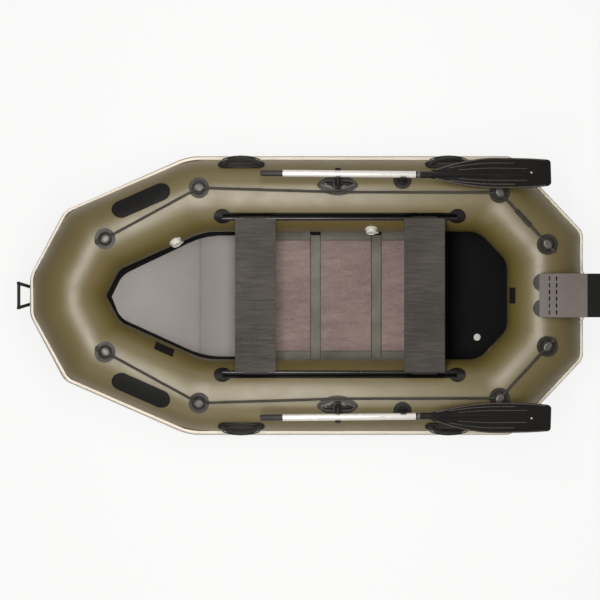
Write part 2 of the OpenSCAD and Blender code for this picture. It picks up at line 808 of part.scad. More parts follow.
// Two rubber sockets on top of the stern tube and two low down behind it
module motor_saddle() {
    ends = [STERN, mirrored(STERN)];
    color("#2b2b2d") for (y = [-motor_rail_y, motor_rail_y]) {
        difference() {
            union() {
                tube_pad(ends, pad_t) on_stern(90, y) outline() stadium(150, 90);
                on_stern(90, y) translate([0, 0, 1])
                    cylinder(d = 64, h = motor_z - tube_d - 1 - fit_gap);
            }
            bar([-far - axis_tip, y, rail_z], [-axis_tip + 22, y, rail_z], motor_rail_d + 2 * glue_gap);
        }
        difference() {
            union() {
                tube_pad(ends, pad_t) on_stern(foot_angle, y) outline() circle(d = 92);
                on_stern(foot_angle, y) translate([0, 0, 1]) cylinder(d1 = 60, d2 = 40, h = 30);
            }
            on_stern(foot_angle, y) translate([0, 0, 10])
                cylinder(d = motor_rail_d + knuckle + 2 * glue_gap, h = 60);
        }
    }
}

module motor_plate() {
    slot_len = 22;
    slot_w = 7;
    length = motor_len;
    color("#8b857d") translate([motor_front_x - length, -motor_w / 2, motor_z]) difference() {
        cube([length, motor_w, motor_plate_t]);
        for (row = [48, 82], i = [0:5]) {
            translate([length - row, 24 + i * (motor_w - 48) / 5, -1]) {
                translate([-slot_w / 2, -slot_len / 2 + slot_w / 2, 0])
                    cube([slot_w, slot_len - slot_w, motor_plate_t + 2]);
                for (y = [-1, 1]) translate([0, y * (slot_len - slot_w) / 2, 0])
                    cylinder(d = slot_w, h = motor_plate_t + 2);
            }
        }
    }
}

// Upright board that takes a motor's clamps
module motor_board() {
    color("#6f6d6a") translate([board_rear_x, -motor_w / 2, motor_z + motor_plate_t - motor_board_h])
        cube([motor_board_t, motor_w, motor_board_h]);
}

// Two rails under the plate, the bracket behind it, a cross rod and two struts to the low sockets
module motor_frame() {
    bracket_x = motor_front_x - motor_len;
    strut_x = board_front + fit_gap + motor_rail_d / 2;
    elbow_z = foot_z + tan(foot_angle) * (foot_x - strut_x);
    color("#3b3b3e") union() {
        for (y = [-motor_rail_y, motor_rail_y]) {
            bar([-axis_tip + 20, y, rail_z], [bracket_x + 2, y, rail_z], motor_rail_d);
            bars([[strut_x, y, rail_z], [strut_x, y, elbow_z],
                  [foot_x - 24 * cos(foot_angle), y, foot_z + 24 * sin(foot_angle)]], motor_rail_d);
        }
        translate([board_front + fit_gap, -motor_w / 2, motor_z + motor_plate_t - bracket_t])
            cube([bracket_x - board_front - 2 * fit_gap, motor_w, bracket_t]);
        translate([bracket_x, 0, rail_z]) rotate([90, 0, 0])
            cylinder(d = 10, h = motor_w - 2, center = true);
    }
}

module motor_knobs() {
    x = motor_front_x - motor_len + 24;
    color("#c9c8c4") for (s = [-1, 1]) {
        translate([x, s * (motor_w / 2 + 5), rail_z + 2]) rotate([90, 0, 0])
            cylinder(d = 20, h = 9, center = true);
    }
}

// ---- Both sides of the paired pieces ----

module rope_eyes_port() { rope_eyes(); }
module rope_eyes_starboard() { on("starboard") rope_eyes(); }
module grab_line_port() { grab_line(); }
module grab_line_starboard() { on("starboard") grab_line(); }
module side_patch_port() { side_patch(); }
module side_patch_starboard() { on("starboard") side_patch(); }

bow_tube();
stern_tube();
hull_bottom();
rub_strip();
floor_mat();
floor_board_front();
floor_board_middle();
floor_board_rear();
seat_rail_port();
seat_rail_starboard();
seat_front_board();
seat_front_clips();
seat_rear_board();
seat_rear_clips();
oarlock_base_port();
oarlock_base_starboard();
oarlock_swivel_port();
oarlock_swivel_starboard();
oar_shaft_port();
oar_shaft_starboard();
oar_grip_port();
oar_grip_starboard();
oar_blade_port();
oar_blade_starboard();
oar_bolt_port();
oar_bolt_starboard();
oar_clip_port();
oar_clip_starboard();
carry_handle_front_port();
carry_handle_front_starboard();
carry_handle_rear_port();
carry_handle_rear_starboard();
rope_eyes_port();
rope_eyes_starboard();
grab_line_port();
grab_line_starboard();
tow_handle();
tow_patch();
valve_bow();
valve_stern();
motor_saddle();
motor_plate();
motor_board();
motor_frame();
motor_knobs();
side_patch_port();
side_patch_starboard();
blank_plates();
drain_plug();
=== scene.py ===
"""Looks of an inflatable rowing boat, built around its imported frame. All lengths are metres."""
import math

import bpy
from mathutils import Matrix, Vector


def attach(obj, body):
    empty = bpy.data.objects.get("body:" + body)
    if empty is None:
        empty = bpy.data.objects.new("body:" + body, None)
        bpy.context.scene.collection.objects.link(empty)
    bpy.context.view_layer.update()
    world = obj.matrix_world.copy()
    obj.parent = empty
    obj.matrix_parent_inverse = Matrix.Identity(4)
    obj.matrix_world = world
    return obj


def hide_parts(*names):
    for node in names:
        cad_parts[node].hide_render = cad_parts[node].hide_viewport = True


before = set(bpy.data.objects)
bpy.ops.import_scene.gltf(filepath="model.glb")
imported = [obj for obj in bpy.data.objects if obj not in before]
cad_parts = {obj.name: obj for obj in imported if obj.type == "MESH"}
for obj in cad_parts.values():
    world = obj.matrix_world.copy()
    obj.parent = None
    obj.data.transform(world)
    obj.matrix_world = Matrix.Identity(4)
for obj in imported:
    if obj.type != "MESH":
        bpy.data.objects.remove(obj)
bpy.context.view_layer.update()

# ---- Sizes that the frame's nodes follow ----

TUBE_R = 0.180
STRIP_OUT = 0.011
HULL_LENGTH = 2.700
HULL_BEAM = 1.370
AXIS_TIP = HULL_LENGTH / 2 - STRIP_OUT - TUBE_R
AXIS_SIDE = HULL_BEAM / 2 - STRIP_OUT - TUBE_R
NOSE_HALF = 0.050
NOSE_DEPTH = 0.110
NOSE_RISE = 0.110
SHOULDER_HALF = 0.267
SHOULDER_RISE = 0.075
BOW_QUARTER = 0.610
STERN_QUARTER_DEPTH = 0.242
STERN_HALF = 0.237
# Corners of the tube's axis on the port side, from the bow to the stern
NOSE = Vector((AXIS_TIP, NOSE_HALF, TUBE_R + NOSE_RISE))
SHOULDER = Vector((AXIS_TIP - NOSE_DEPTH, SHOULDER_HALF, TUBE_R + SHOULDER_RISE))
QUARTER = Vector((AXIS_TIP - BOW_QUARTER, AXIS_SIDE, TUBE_R))
STERN_QUARTER = Vector((STERN_QUARTER_DEPTH - AXIS_TIP, AXIS_SIDE, TUBE_R))
STERN = Vector((-AXIS_TIP, STERN_HALF, TUBE_R))
PORT = [NOSE, SHOULDER, QUARTER, STERN_QUARTER, STERN]
# How far from each corner the outer side of the tube begins to turn
SOFTENING = [0.030, 0.030, 0.060, 0.034, 0.026]
CLOTH_GAP = 0.0004
BULKHEAD_X = -0.150
LOCK_X = -0.141
LOCK_ROLL = 12
LOCK_H = 0.080
OAR_OFFSET = 0.034
STOW_SLOPE = 2
SHAFT_D = 0.033
GRIP_REACH = 0.371
BLADE_START = 0.439
BLADE_LEN = 0.585
BLADE_W = 0.152
SIDES = ("port", "starboard")


def rgb(red, green, blue):
    """Linear colour of a display colour given from 0 to 255."""
    def channel(value):
        value /= 255
        return value / 12.92 if value <= 0.04045 else ((value + 0.055) / 1.055) ** 2.4
    return (channel(red), channel(green), channel(blue), 1)


# ---- Making and placing pieces ----

def deselect():
    bpy.ops.object.select_all(action="DESELECT")


def only(piece):
    deselect()
    piece.select_set(True)
    bpy.context.view_layer.objects.active = piece


def named(name):
    piece = bpy.context.active_object
    piece.name = name
    piece.data.name = name
    return piece


def settle(piece):
    """Puts the piece's place into its mesh."""
    only(piece)
    bpy.ops.object.transform_apply(location=True, rotation=True, scale=True)
    return piece


def place(piece, matrix):
    piece.data.transform(matrix)
    piece.data.update()
    return piece


def smooth(piece, angle=40):
    only(piece)
    bpy.ops.object.shade_smooth_by_angle(angle=math.radians(angle))
    return piece


def modifier(piece, kind, **values):
    """Adds a modifier with these values and applies it."""
    only(piece)
    added = piece.modifiers.new(kind.lower(), kind)
    for key, value in values.items():
        setattr(added, key, value)
    bpy.ops.object.modifier_apply(modifier=added.name)
    return piece


def bevel(piece, width, segments=3, angle=30):
    return modifier(piece, "BEVEL", width=width, segments=segments, limit_method="ANGLE",
                    angle_limit=math.radians(angle), use_clamp_overlap=True)


def copy_piece(piece, name):
    twin = piece.copy()
    twin.data = piece.data.copy()
    twin.name = name
    twin.data.name = name
    bpy.context.scene.collection.objects.link(twin)
    return twin


def mirrored(piece, name):
    """A starboard twin of a port piece, with its faces still pointing outwards."""
    twin = copy_piece(piece, name)
    twin.data.transform(Matrix.Scale(-1, 4, Vector((0, 1, 0))))
    twin.data.flip_normals()
    return twin


def join(pieces, name):
    deselect()
    for piece in pieces:
        piece.select_set(True)
    bpy.context.view_layer.objects.active = pieces[0]
    if len(pieces) > 1:
        bpy.ops.object.join()
    return named(name)


def finished(piece, body, material, replaced=()):
    """Gives a finished piece its material, body and slot, and hides the nodes that it stands for."""
    piece.data.materials.clear()
    piece.data.materials.append(material)
    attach(piece, body)
    if replaced:
        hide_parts(*replaced)
    return piece


def box(name, low, high, edge=0.002, segments=2):
    """Block between two corners with softened edges."""
    low, high = Vector(low), Vector(high)
    deselect()
    bpy.ops.mesh.primitive_cube_add(size=1, location=(low + high) / 2)
    piece = named(name)
    piece.scale = high - low
    settle(piece)
    if edge:
        bevel(piece, edge, segments)
    return smooth(piece)


def rod(name, start, end, radius, edge=0.001, sides=32):
    """Round bar between two points."""
    start, end = Vector(start), Vector(end)
    deselect()
    bpy.ops.mesh.primitive_cylinder_add(vertices=sides, radius=radius, depth=(end - start).length,
                                        location=(start + end) / 2)
    piece = named(name)
    piece.rotation_euler = (end - start).to_track_quat("Z", "Y").to_euler()
    settle(piece)
    if edge:
        bevel(piece, edge, 2)
    return smooth(piece)


def lathe(name, profile, sides=48, stretch=(1, 1)):
    """Turns a profile of (radius, height) points about Z. The last point closes on the axis."""
    mesh = bpy.data.meshes.new(name)
    mesh.from_pydata([(r, 0, z) for r, z in profile],
                     [(i, i + 1) for i in range(len(profile) - 1)], [])
    piece = bpy.data.objects.new(name, mesh)
    bpy.context.scene.collection.objects.link(piece)
    only(piece)
    bpy.ops.object.mode_set(mode="EDIT")
    bpy.ops.mesh.select_all(action="SELECT")
    bpy.ops.mesh.spin(steps=sides, angle=2 * math.pi, center=(0, 0, 0), axis=(0, 0, 1))
    bpy.ops.mesh.select_all(action="SELECT")
    bpy.ops.mesh.remove_doubles(threshold=0.00002)
    bpy.ops.mesh.normals_make_consistent(inside=False)
    bpy.ops.object.mode_set(mode="OBJECT")
    piece.data.transform(Matrix.Diagonal((stretch[0], stretch[1], 1, 1)))
    return smooth(piece, 50)


def pipe(name, points, radius, closed=False, sides=4):
    """Round bar along a smooth route."""
    curve = bpy.data.curves.new(name, "CURVE")
    curve.dimensions = "3D"
    curve.bevel_depth = radius
    curve.bevel_resolution = sides
    curve.resolution_u = 10
    curve.use_fill_caps = True
    spline = curve.splines.new("BEZIER")
    spline.bezier_points.add(len(points) - 1)
    spline.use_cyclic_u = closed
    for bend, point in zip(spline.bezier_points, points):
        bend.co = point
        bend.handle_left_type = "AUTO"
        bend.handle_right_type = "AUTO"
    piece = bpy.data.objects.new(name, curve)
    bpy.context.scene.collection.objects.link(piece)
    only(piece)
    bpy.ops.object.convert(target="MESH")
    return smooth(named(name), 60)


# ---- Places on the tube ----

def on_tube(run, along, roll):
    """Matrix of a place on the port tube: +X aft along the run, +Y inboard, +Z off the tube."""
    start, end = PORT[run], PORT[run + 1]
    aft = (end - start).normalized()
    inboard = Vector((0, 0, 1)).cross(aft).normalized()
    up = aft.cross(inboard)
    frame_of_run = Matrix((aft, inboard, up)).transposed().to_4x4()
    return (Matrix.Translation(start + aft * along) @ frame_of_run
            @ Matrix.Rotation(math.radians(roll), 4, "X") @ Matrix.Translation((0, 0, TUBE_R)))


def on_side(x, roll):
    return on_tube(2, QUARTER.x - x, roll)


# ---- Materials ----

def noise(nodes, links, vector, scale, detail, rough=0.5):
    node = nodes.new("ShaderNodeTexNoise")
    node.inputs["Scale"].default_value = scale
    node.inputs["Detail"].default_value = detail
    node.inputs["Roughness"].default_value = rough
    links.new(vector, node.inputs["Vector"])
    return node.outputs["Fac"]


def spread(nodes, links, value, low, high):
    """Stretches the values between low and high over 0 to 1."""
    node = nodes.new("ShaderNodeMapRange")
    node.inputs["From Min"].default_value = low
    node.inputs["From Max"].default_value = high
    links.new(value, node.inputs["Value"])
    return node.outputs["Result"]


def detail_group():
    """Masks shared by every surface: broad tone, stretched grain, speckle and thin scratches."""
    group = bpy.data.node_groups.new("Surface detail", "ShaderNodeTree")
    face = group.interface
    face.new_socket("Vector", in_out="INPUT", socket_type="NodeSocketVector")
    face.new_socket("Stretch", in_out="INPUT", socket_type="NodeSocketVector")
    for name in ("Broad", "Grain", "Speckle", "Scratch"):
        face.new_socket(name, in_out="OUTPUT", socket_type="NodeSocketFloat")
    nodes, links = group.nodes, group.links
    inside, outside = nodes.new("NodeGroupInput"), nodes.new("NodeGroupOutput")
    place_of = inside.outputs["Vector"]
    stretched = nodes.new("ShaderNodeVectorMath")
    stretched.operation = "MULTIPLY"
    links.new(place_of, stretched.inputs[0])
    links.new(inside.outputs["Stretch"], stretched.inputs[1])
    broad = noise(nodes, links, place_of, 2.6, 3, 0.55)
    grain = noise(nodes, links, stretched.outputs[0], 9, 5, 0.6)
    speckle = noise(nodes, links, place_of, 260, 2, 0.7)
    scratch = noise(nodes, links, stretched.outputs[0], 34, 2, 0.4)
    links.new(spread(nodes, links, broad, 0.34, 0.66), outside.inputs["Broad"])
    links.new(spread(nodes, links, grain, 0.30, 0.70), outside.inputs["Grain"])
    links.new(spread(nodes, links, speckle, 0.40, 0.62), outside.inputs["Speckle"])
    links.new(spread(nodes, links, scratch, 0.66, 0.72), outside.inputs["Scratch"])
    return group


def weave_group():
    """Height of a fine cross weave over the tube's own unrolled surface."""
    group = bpy.data.node_groups.new("Cross weave", "ShaderNodeTree")
    group.interface.new_socket("Vector", in_out="INPUT", socket_type="NodeSocketVector")
    group.interface.new_socket("Height", in_out="OUTPUT", socket_type="NodeSocketFloat")
    nodes, links = group.nodes, group.links
    inside, outside = nodes.new("NodeGroupInput"), nodes.new("NodeGroupOutput")
    bands = []
    for direction in ("X", "Y"):
        wave = nodes.new("ShaderNodeTexWave")
        wave.bands_direction = direction
        wave.inputs["Scale"].default_value = 140
        wave.inputs["Distortion"].default_value = 0.6
        links.new(inside.outputs["Vector"], wave.inputs["Vector"])
        bands.append(wave.outputs["Fac"])
    both = nodes.new("ShaderNodeMath")
    both.operation = "MULTIPLY"
    links.new(bands[0], both.inputs[0])
    links.new(bands[1], both.inputs[1])
    links.new(both.outputs[0], outside.inputs["Height"])
    return group


DETAIL = detail_group()
WEAVE = weave_group()


def blend_colour(nodes, links, fac, first, second):
    """Mixes two colours. Either may be a socket or four numbers."""
    mix = nodes.new("ShaderNodeMix")
    mix.data_type = "RGBA"
    if hasattr(fac, "is_output"):
        links.new(fac, mix.inputs[0])
    else:
        mix.inputs[0].default_value = fac
    for socket, colour in ((mix.inputs[6], first), (mix.inputs[7], second)):
        if hasattr(colour, "is_output"):
            links.new(colour, socket)
        else:
            socket.default_value = colour
    return mix.outputs[2]


def times(nodes, links, value, factor, add=0.0):
    node = nodes.new("ShaderNodeMath")
    node.operation = "MULTIPLY_ADD"
    node.inputs[1].default_value = factor
    node.inputs[2].default_value = add
    links.new(value, node.inputs[0])
    return node.outputs[0]


def surface(name, base, light, dark, rough=0.5, metal=0.0, coat=0.0, stretch=(1, 1, 1),
            grain=0.4, speckle=0.15, scratch=0.2, bump=0.15, weave=False, spec=0.5,
            coat_rough=0.1, uneven=0.16):
    """A worn surface: base tone with lighter broad patches, darker grain, specks and scratches."""
    material = bpy.data.materials.new(name)
    material.use_nodes = True
    nodes, links = material.node_tree.nodes, material.node_tree.links
    shader = nodes["Principled BSDF"]
    place_of = nodes.new("ShaderNodeTexCoord").outputs["Object"]
    detail = nodes.new("ShaderNodeGroup")
    detail.node_tree = DETAIL
    detail.inputs["Stretch"].default_value = stretch
    links.new(place_of, detail.inputs["Vector"])
    broad, fine = detail.outputs["Broad"], detail.outputs["Grain"]
    specks, marks = detail.outputs["Speckle"], detail.outputs["Scratch"]
    tone = blend_colour(nodes, links, times(nodes, links, broad, grain), base, light)
    tone = blend_colour(nodes, links, times(nodes, links, fine, grain), tone, dark)
    tone = blend_colour(nodes, links, times(nodes, links, specks, speckle), tone, light)
    tone = blend_colour(nodes, links, times(nodes, links, marks, scratch), tone, light)
    links.new(tone, shader.inputs["Base Color"])
    links.new(times(nodes, links, fine, uneven, rough - uneven / 2), shader.inputs["Roughness"])
    shader.inputs["Metallic"].default_value = metal
    shader.inputs["Coat Weight"].default_value = coat
    shader.inputs["Coat Roughness"].default_value = coat_rough
    shader.inputs["Specular IOR Level"].default_value = spec
    height = fine
    if weave:
        cloth = nodes.new("ShaderNodeGroup")
        cloth.node_tree = WEAVE
        links.new(nodes.new("ShaderNodeUVMap").outputs["UV"], cloth.inputs["Vector"])
        add = nodes.new("ShaderNodeMath")
        add.operation = "ADD"
        links.new(times(nodes, links, cloth.outputs["Height"], 0.12), add.inputs[0])
        links.new(fine, add.inputs[1])
        height = add.outputs[0]
    relief = nodes.new("ShaderNodeBump")
    relief.inputs["Strength"].default_value = bump
    relief.inputs["Distance"].default_value = 0.002
    links.new(height, relief.inputs["Height"])
    links.new(relief.outputs["Normal"], shader.inputs["Normal"])
    return material


OLIVE = surface("Coated olive fabric", rgb(98, 85, 36), rgb(112, 99, 48), rgb(82, 69, 26),
                rough=0.46, spec=0.9, coat=0.75, coat_rough=0.42, grain=0.22, speckle=0.10,
                scratch=0.08, bump=0.08, weave=True)
CREAM = surface("Cream rubber", rgb(240, 231, 216), rgb(248, 243, 234), rgb(212, 198, 176),
                rough=0.5, grain=0.3, speckle=0.1, scratch=0.1, bump=0.1)
# Floor sheet given a grey base much lighter than the dark sheet itself: painted sheen for the bow
# floor's reflection of the overhead light. The metal and gloss add real reflection on top.
FLOOR_PAINTED_SHEEN = surface("Coated sheet lightened as painted sheen", rgb(84, 81, 80), rgb(98, 95, 93),
                     rgb(62, 60, 59), rough=0.36, metal=0.6, grain=0.1, speckle=0.12, bump=0.0,
                     uneven=0.02)
# Near-black copy of the same floor sheet: painted shade, used for the dark stern floor and the dark
# band along the tubes.
FLOOR_PAINTED_SHADE = surface("Coated sheet darkened as painted shade", rgb(6, 6, 8), rgb(12, 12, 15), rgb(2, 2, 4),
                     rough=0.5, spec=0.08, grain=0.4, speckle=0.12, bump=0.12)
HEM = surface("Olive hems", rgb(84, 82, 69), rgb(108, 106, 93), rgb(62, 58, 43),
              rough=0.5, grain=0.4, speckle=0.2, bump=0.15)
BOARD = surface("Speckled floor board", rgb(112, 92, 90), rgb(152, 132, 128), rgb(74, 58, 58),
                rough=0.5, spec=0.25, stretch=(1, 5, 1), grain=0.55, speckle=0.6, scratch=0.3,
                bump=0.12)
SEAT = surface("Worn dark seat board", rgb(54, 50, 47), rgb(92, 88, 84), rgb(26, 24, 23),
               rough=0.55, spec=0.15, stretch=(0.9, 12, 1), grain=0.6, speckle=0.35, scratch=0.5,
               bump=0.1)
RUBBER = surface("Dark rubber", rgb(20, 20, 20), rgb(48, 47, 45), rgb(9, 9, 9),
                 rough=0.46, spec=0.35, grain=0.4, speckle=0.25, scratch=0.15, bump=0.14)
BLACK = surface("Black glossy plastic", rgb(6, 5, 5), rgb(22, 20, 20), rgb(2, 2, 2),
                rough=0.3, spec=0.4, coat=0.15, grain=0.3, speckle=0.1, scratch=0.15, bump=0.06)
PATCH = surface("Black smooth patch", rgb(18, 18, 18), rgb(38, 38, 38), rgb(9, 9, 9),
                rough=0.5, spec=0.2, grain=0.4, speckle=0.2, scratch=0.1, bump=0.1)
EYE = surface("Grey moulded rubber", rgb(36, 32, 28), rgb(68, 64, 58), rgb(18, 16, 14),
              rough=0.42, spec=0.35, grain=0.45, speckle=0.3, scratch=0.15, bump=0.12)
GRIP = surface("Ribbed grip rubber", rgb(40, 38, 38), rgb(70, 68, 68), rgb(20, 20, 20),
               rough=0.5, spec=0.3, grain=0.4, speckle=0.25, scratch=0.15, bump=0.15)
ALLOY = surface("Bright painted alloy", rgb(232, 230, 227), rgb(246, 245, 243),
                rgb(150, 150, 152), rough=0.28, metal=0.35, stretch=(1, 20, 20), grain=0.3,
                speckle=0.08, scratch=0.25, bump=0.04)
WHITE = surface("White moulded plastic", rgb(206, 204, 198), rgb(232, 231, 227),
                rgb(152, 150, 144), rough=0.4, grain=0.3, speckle=0.1, scratch=0.15, bump=0.06)
PLATE = surface("Grey cast plate", rgb(124, 116, 113), rgb(160, 152, 149), rgb(84, 78, 76),
                rough=0.34, metal=0.4, stretch=(1, 9, 1), grain=0.4, speckle=0.3, bump=0.08)
DARK_BOARD = surface("Dark grey board", rgb(12, 12, 11), rgb(28, 27, 26), rgb(5, 5, 5),
                     rough=0.5, spec=0.25, stretch=(1, 7, 1), grain=0.45, speckle=0.3, bump=0.1)
ROPE = surface("Dark twisted rope", rgb(38, 35, 32), rgb(88, 82, 74), rgb(18, 16, 14),
               rough=0.75, stretch=(30, 30, 30), grain=0.6, speckle=0.5, bump=0.4)


def dress(node, material):
    """Gives a node of the frame a finished material."""
    for place_for in bpy.data.objects[node].material_slots:
        place_for.material = material


# ---- Hull ----

def flip_y(point):
    return Vector((point.x, -point.y, point.z))


def sideways(way):
    """Inboard direction for a run that goes aft on the port side and forward on starboard."""
    return Vector((0, 0, 1)).cross(way).normalized()


def corner_lines(points, section, closed):
    """Where each line of a swept section meets every corner's mitre plane."""
    count = len(points)
    rows = []
    for i in range(count):
        here = points[i]
        first_end, last_end = not closed and i == 0, not closed and i == count - 1
        come = (here - points[i - 1]).normalized() if not first_end else None
        go = (points[(i + 1) % count] - here).normalized() if not last_end else come
        come = come or go
        middle = (come + go).normalized()
        inboard = sideways(go if not last_end else come)
        way = go
        up = way.cross(inboard)
        row = []
        for across, rise in section:
            spot = here + inboard * across + up * rise
            row.append(spot - way * ((spot - here).dot(middle) / way.dot(middle)))
        rows.append(row)
    return rows


def sweep(name, points, turns, section, closed=False, step=0.03, spokes=10):
    """Sweeps a closed section of (inboard, up) points along mitred runs with softened corners."""
    count, sides = len(points), len(section)
    corners = corner_lines(points, section, closed)
    reach = max(math.hypot(*spot) for spot in section)
    runs = count if closed else count - 1
    parts = [max(2, round((points[(i + 1) % count] - points[i]).length / step)) for i in range(runs)]
    lines = []
    for j, (across, rise) in enumerate(section):
        soft = 1 + 0.35 * max(0.0, across / reach + 0.6)
        spots = [row[j] for row in corners]
        line, ends = [], []
        for i in range(count):
            if not closed and i in (0, count - 1):
                ends.append((spots[i], spots[i]))
                continue
            come, go = spots[i] - spots[i - 1], spots[(i + 1) % count] - spots[i]
            near = min(turns[i] * soft, 0.42 * come.length, 0.42 * go.length)
            ends.append((spots[i] - come.normalized() * near, spots[i] + go.normalized() * near))
        for i in range(count):
            start, end = ends[i]
            if closed or i not in (0, count - 1):
                for k in range(spokes + 1):
                    t = k / spokes
                    line.append(start * (1 - t) ** 2 + spots[i] * (2 * t * (1 - t)) + end * t * t)
            else:
                line.append(spots[i])
            if i < runs:
                leave, meet = ends[i][1], ends[(i + 1) % count][0]
                line += [leave.lerp(meet, k / parts[i]) for k in range(1, parts[i])]
        lines.append(line)
    total = len(lines[0])
    spots = [lines[j][i] for i in range(total) for j in range(sides)]
    faces, places = [], []
    for i in range(total if closed else total - 1):
        for j in range(sides):
            k, m = (i + 1) % total, (j + 1) % sides
            faces.append((i * sides + j, i * sides + m, k * sides + m, k * sides + j))
            places.append((i, j))
    if not closed:
        faces.append(tuple(reversed(range(sides))))
        faces.append(tuple((total - 1) * sides + j for j in range(sides)))
    mesh = bpy.data.meshes.new(name)
    mesh.from_pydata(spots, [], faces)
    middle = sides // 4
    along = [0.0]
    for i in range(1, total + 1):
        along.append(along[-1] + (lines[middle][i % total] - lines[middle][i - 1]).length)
    girth = [0.0]
    for j in range(sides):
        girth.append(girth[-1] + math.dist(section[j], section[(j + 1) % sides]))
    layer = mesh.uv_layers.new(name="Unrolled")
    for face, (i, j) in zip(mesh.polygons, places):
        for loop, (u, v) in zip(face.loop_indices, (
                (along[i], girth[j]), (along[i], girth[j + 1]),
                (along[i + 1], girth[j + 1]), (along[i + 1], girth[j]))):
            layer.data[loop].uv = (u, v)
    piece = bpy.data.objects.new(name, mesh)
    bpy.context.scene.collection.objects.link(piece)
    only(piece)
    bpy.ops.object.mode_set(mode="EDIT")
    bpy.ops.mesh.select_all(action="SELECT")
    bpy.ops.mesh.normals_make_consistent(inside=False)
    bpy.ops.object.mode_set(mode="OBJECT")
    return smooth(piece, 38)


def ring_section(radius, sides=96):
    return [(radius * math.cos(2 * math.pi * k / sides), radius * math.sin(2 * math.pi * k / sides))
            for k in range(sides)]


def build_hull():
    bulkhead = Vector((BULKHEAD_X, AXIS_SIDE, TUBE_R))
    bow = [bulkhead, QUARTER, SHOULDER, NOSE]
    stern = [bulkhead, STERN_QUARTER, STERN]
    bow_turns = [0, SOFTENING[2], SOFTENING[1], SOFTENING[0]]
    stern_turns = [0, SOFTENING[3], SOFTENING[4]]
    for name, run, turns in (("bow_tube", bow, bow_turns), ("stern_tube", stern, stern_turns)):
        whole = run + [flip_y(p) for p in reversed(run)]
        tube = sweep(name + "_cloth", whole, turns + turns[::-1], ring_section(TUBE_R))
        finished(tube, "hull", OLIVE, [name])


build_hull()


def strip_section():
    """Section of the rub strip: a band on the tube's outer side with two rounded lips."""
    inner, low, high, steps = TUBE_R + CLOTH_GAP, -2, 22, 24
    outer, back = [], []
    for k in range(steps + 1):
        share = k / steps
        angle = math.radians(low + (high - low) * share)
        lip = max(0.0, math.cos((share - 0.12) * 9)) * (share < 0.30) \
            + max(0.0, math.cos((share - 0.88) * 9)) * (share > 0.70)
        edge = min(share, 1 - share) < 0.01
        deep = 0.0065 + 0.0045 * lip if not edge else 0.003
        outer.append((-(inner + deep) * math.cos(angle), (inner + deep) * math.sin(angle)))
        back.append((-inner * math.cos(angle), inner * math.sin(angle)))
    return outer + back[::-1]


def build_strip():
    ring = PORT + [flip_y(p) for p in reversed(PORT)]
    turns = SOFTENING + SOFTENING[::-1]
    strip = sweep("rub_strip_band", ring, turns, strip_section(), closed=True, step=0.03)
    finished(strip, "hull", CREAM, ["rub_strip"])
    line_r = TUBE_R + 0.0078
    line = [(-line_r * math.cos(math.radians(angle)) - proud, line_r * math.sin(math.radians(angle)))
            for angle, proud in ((5.6, 0), (5.6, 0.001), (6.6, 0.001), (6.6, 0))]
    thin = sweep("rub_strip_line", ring, turns, line, closed=True, step=0.03)
    finished(thin, "hull", RUBBER)


build_strip()

DRESSED = {
    "hull_bottom": FLOOR_PAINTED_SHEEN, "floor_mat": HEM, "floor_board_front": BOARD,
    "floor_board_middle": BOARD, "floor_board_rear": BOARD, "seat_front_board": SEAT,
    "seat_rear_board": SEAT, "seat_front_clips": RUBBER, "seat_rear_clips": RUBBER,
    "tow_handle": RUBBER, "tow_patch": RUBBER, "valve_bow": WHITE, "valve_stern": WHITE,
    "motor_saddle": RUBBER, "motor_plate": PLATE, "motor_board": DARK_BOARD,
    "motor_frame": DARK_BOARD, "motor_knobs": WHITE, "blank_plates": PATCH, "drain_plug": WHITE,
}
PAIRED = {
    "seat_rail": BLACK, "oarlock_base": EYE, "oarlock_swivel": BLACK, "oar_shaft": ALLOY,
    "oar_grip": GRIP, "oar_blade": BLACK, "oar_bolt": BLACK, "oar_clip": RUBBER,
    "carry_handle_front": RUBBER, "carry_handle_rear": RUBBER, "rope_eyes": EYE,
    "grab_line": ROPE, "side_patch": PATCH,
}
for node, material in DRESSED.items():
    dress(node, material)
for stem, material in PAIRED.items():
    for side in SIDES:
        dress(stem + "_" + side, material)


# ---- Finer pieces ----

BRIGHT_RUBBER = surface("Lighter cap rubber", rgb(78, 76, 74), rgb(124, 122, 120),
                        rgb(62, 60, 58), rough=0.3, grain=0.5, speckle=0.2, bump=0.06)
# Grey border round the black oarlock wings: painted highlight on the wings' edges.
WING_EDGE_HIGHLIGHT = surface("Wing edges, painted highlight", rgb(104, 102, 98), rgb(142, 140, 136), rgb(66, 64, 60),
                   rough=0.4, grain=0.3, speckle=0.2, bump=0.06)
# Blade ribs, lip and collar lighter than the black blade: painted highlight on the moulded ridges.
BLADE_RIB_HIGHLIGHT = surface("Blade ribs, painted highlight", rgb(72, 65, 63), rgb(112, 104, 101), rgb(34, 30, 28),
                    rough=0.3, coat=0.4, coat_rough=0.15, grain=0.5, speckle=0.2, bump=0.04)
ROPE_D = 0.009
ROPE_LIFT = 0.006 + ROPE_D / 2
TAIL = 0.040
STERN_RUN = (STERN - STERN_QUARTER).length
EYES = [(1, 0.048, -9), (2, 0.022, 7.5), (3, 0.002, 1), (3, STERN_RUN - 0.012, 0)]


def at(place_of, lift, extra=0.0):
    run, along, roll = place_of
    return on_tube(run, along + extra, roll) @ Vector((0, 0, lift))


def both_sides(piece, stem, body, material, replaced=()):
    """Finishes a port piece and its starboard twin."""
    twin = mirrored(piece, stem + "_starboard")
    piece.name = stem + "_port"
    for one, side in ((piece, "port"), (twin, "starboard")):
        finished(one, body.format(side), material, [n.format(side) for n in replaced])


